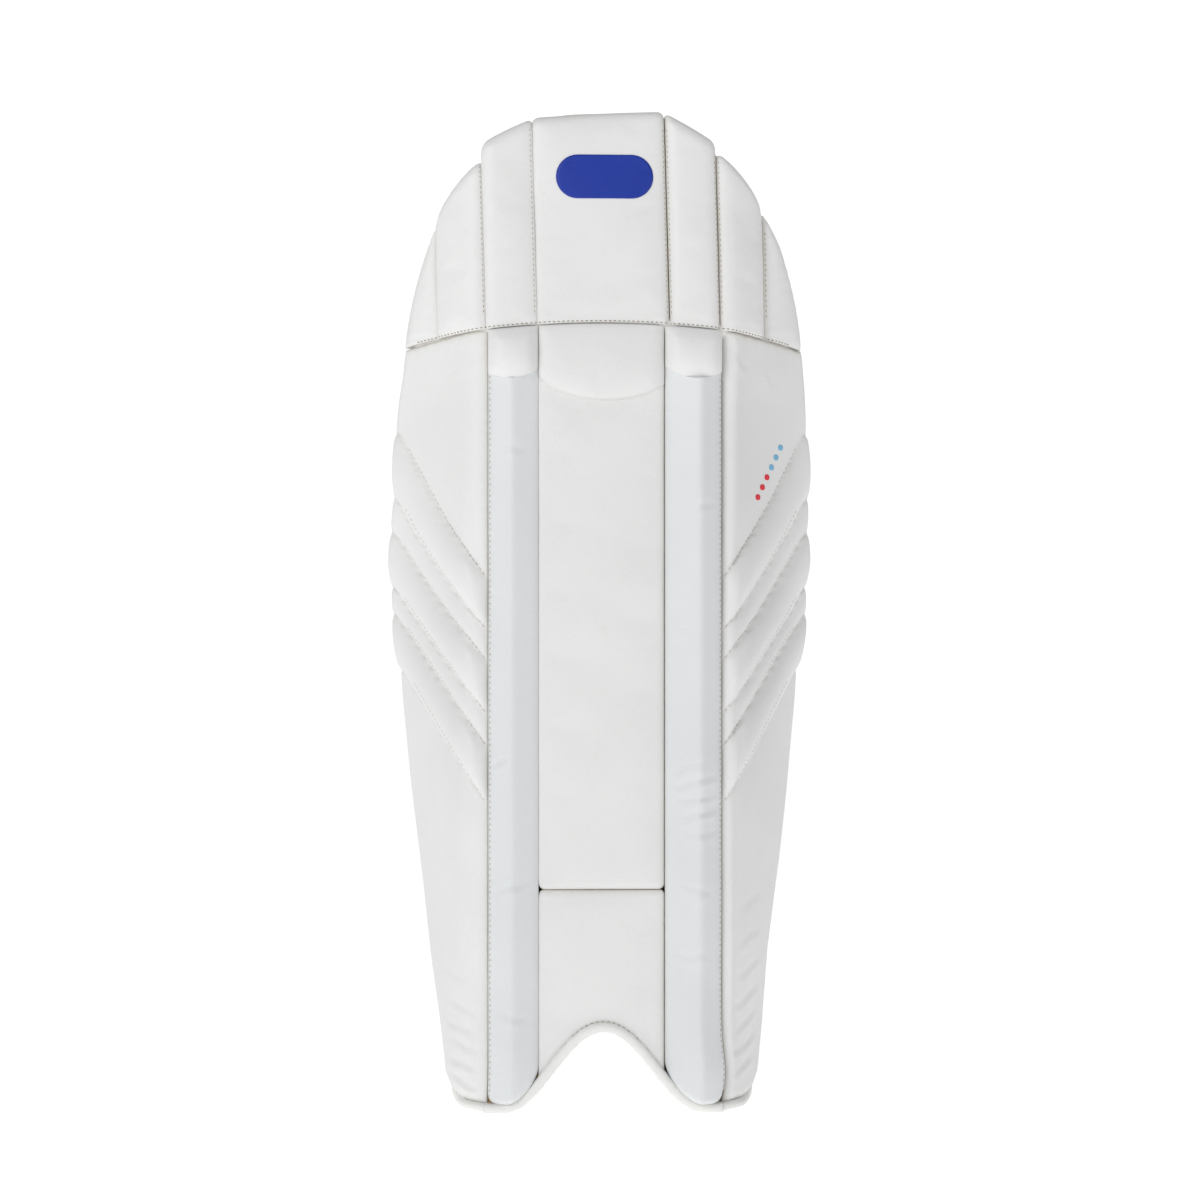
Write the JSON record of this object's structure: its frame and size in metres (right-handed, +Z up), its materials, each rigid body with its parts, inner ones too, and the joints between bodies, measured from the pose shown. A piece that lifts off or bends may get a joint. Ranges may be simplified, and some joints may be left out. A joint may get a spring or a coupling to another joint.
{
  "type": "cricket leg pad",
  "caption": "Padded leg guard with a roped shin face, ribbed wrap-round wings, a channelled thigh flap and hook-and-loop straps behind the leg.",
  "frame": {"origin": "middle of the width and depth, on the ground that the pad stands on", "axes": "+Z up along the shin, -Y the way the face of the pad looks, +X to the right as seen from the front"},
  "size_m": [0.2666, 0.1288, 0.62],
  "materials": {
    "facing": "smooth off-white synthetic leather, satin",
    "cane_facing": "smooth cool white synthetic leather, satin",
    "piping": "smooth white edge binding, satin",
    "foam": "closed-cell foam, matt",
    "board": "stiff foam board, matt",
    "cane_wood": "split cane",
    "lining": "brushed cotton lining",
    "webbing": "padded woven strap",
    "hook_tape": "moulded hook tape",
    "loop_tape": "brushed loop tape"
  },
  "bodies": {
    "shin": {"shin_backing_board": "board", "shin_lining": "lining", "knee_seam_tape": "lining", "centre_panel_cover": "facing", "centre_panel_foam": "foam", "knee_roll_cover": "facing", "knee_roll_foam": "foam", "instep_panel": "facing", "cane_cover_left": "cane_facing", "cane_cap_left": "facing", "cane_rods_left": "cane_wood", "cane_cover_right": "cane_facing", "cane_cap_right": "facing", "cane_rods_right": "cane_wood", "knee_cushion": "lining", "leg_bolster_left": "lining", "leg_bolster_right": "lining", "base_binding": "piping"},
    "thigh_flap": {"flap_cover_centre": "facing", "flap_foam_centre": "foam", "flap_cover_inner_left": "facing", "flap_foam_inner_left": "foam", "flap_cover_inner_right": "facing", "flap_foam_inner_right": "foam", "flap_cover_outer_left": "facing", "flap_cover_outer_right": "facing", "flap_cover_side_left": "facing", "flap_cover_side_right": "facing", "flap_lining": "lining", "flap_binding": "piping"},
    "left_wing": {"wing_cover_left": "facing", "wing_foam_left": "foam", "wing_lining_left": "lining", "wing_rib_upper_left": "facing", "wing_rib_middle_left": "facing", "wing_rib_lower_left": "facing", "wing_binding_left": "piping", "strap_root_knee": "webbing", "strap_root_calf": "webbing", "strap_root_ankle": "webbing"},
    "right_wing": {"wing_cover_right": "facing", "wing_foam_right": "foam", "wing_lining_right": "lining", "wing_rib_upper_right": "facing", "wing_rib_middle_right": "facing", "wing_rib_lower_right": "facing", "wing_binding_right": "piping", "strap_tab_knee": "webbing", "loop_patch_knee": "loop_tape", "strap_tab_calf": "webbing", "loop_patch_calf": "loop_tape", "strap_tab_ankle": "webbing", "loop_patch_ankle": "loop_tape"},
    "knee_strap": {"strap_knee": "webbing", "hook_patch_knee": "hook_tape"},
    "calf_strap": {"strap_calf": "webbing", "hook_patch_calf": "hook_tape"},
    "ankle_strap": {"strap_ankle": "webbing", "hook_patch_ankle": "hook_tape"}
  },
  "joints": [
    {"name": "thigh_flap_fold", "type": "hinge", "parent": "shin", "child": "thigh_flap", "pos_m": [0, -0.05335, 0.4885], "axis": [1, 0, 0], "range_deg": [-10, 20], "stiffness_Nm_per_rad": 3},
    {"name": "left_wing_open", "type": "hinge", "parent": "shin", "child": "left_wing", "pos_m": [-0.0733, -0.05635, 0.24], "axis": [0, 0, 1], "range_deg": [0, 15], "stiffness_Nm_per_rad": 0.6},
    {"name": "right_wing_open", "type": "hinge", "parent": "shin", "child": "right_wing", "pos_m": [0.0733, -0.05635, 0.24], "axis": [0, 0, 1], "range_deg": [-15, 0], "stiffness_Nm_per_rad": 0.6},
    {"name": "knee_strap_swing", "type": "hinge", "parent": "left_wing", "child": "knee_strap", "pos_m": [-0.11589, 0.01738, 0.432], "axis": [0, 0, 1], "range_deg": [0, 90]},
    {"name": "calf_strap_swing", "type": "hinge", "parent": "left_wing", "child": "calf_strap", "pos_m": [-0.10984, 0.02795, 0.29], "axis": [0, 0, 1], "range_deg": [0, 90]},
    {"name": "ankle_strap_swing", "type": "hinge", "parent": "left_wing", "child": "ankle_strap", "pos_m": [-0.0893, 0.00557, 0.095], "axis": [0, 0, 1], "range_deg": [0, 90]}
  ],
  "couplings": [
    {"joint": "right_wing_open", "follows": "left_wing_open", "ratio": -1}
  ]
}
